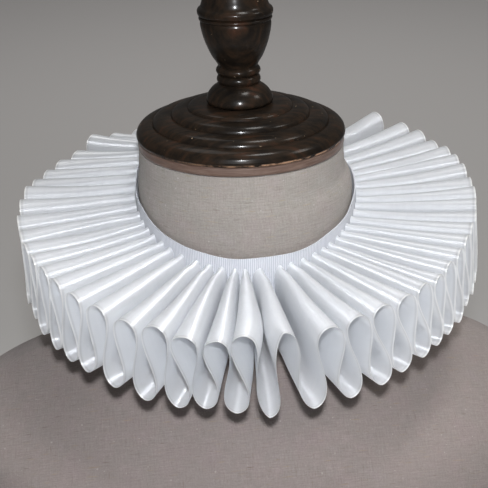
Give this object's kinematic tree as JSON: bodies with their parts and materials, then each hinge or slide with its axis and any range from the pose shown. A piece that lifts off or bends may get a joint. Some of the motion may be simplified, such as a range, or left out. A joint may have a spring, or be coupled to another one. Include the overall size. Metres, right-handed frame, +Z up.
{
  "type": "ruff collar on a dress form",
  "caption": "Satin ribbon ruff in standing figure-of-eight loops on a grosgrain neckband, worn by a limbless linen dress form with a turned wooden neck cap and finial",
  "frame": {"origin": "the middle of the dress form's flat base, on the table", "axes": "+Z up, along the form's longest extent; the form faces -Y; +X is the wearer's left"},
  "size_m": [0.352, 0.2619, 0.415],
  "materials": {
    "white_satin": "white satin ribbon, glossy on its outer face and matte on its back",
    "white_grosgrain": "white grosgrain with fine upright ribs, matte",
    "white_wire": "white enamelled wire, satin",
    "beige_linen": "plain-woven beige linen with slubs, matte",
    "brown_edging": "reddish-brown edge band, low sheen",
    "dark_wood": "near-black stained and varnished turned wood"
  },
  "bodies": {
    "root": {"ruff_ribbon": "white_satin", "neckband": "white_grosgrain", "back_hook": "white_wire", "back_eye": "white_wire", "form_torso": "beige_linen", "cap_edge": "brown_edging", "neck_cap": "dark_wood", "finial": "dark_wood"}
  },
  "joints": []
}
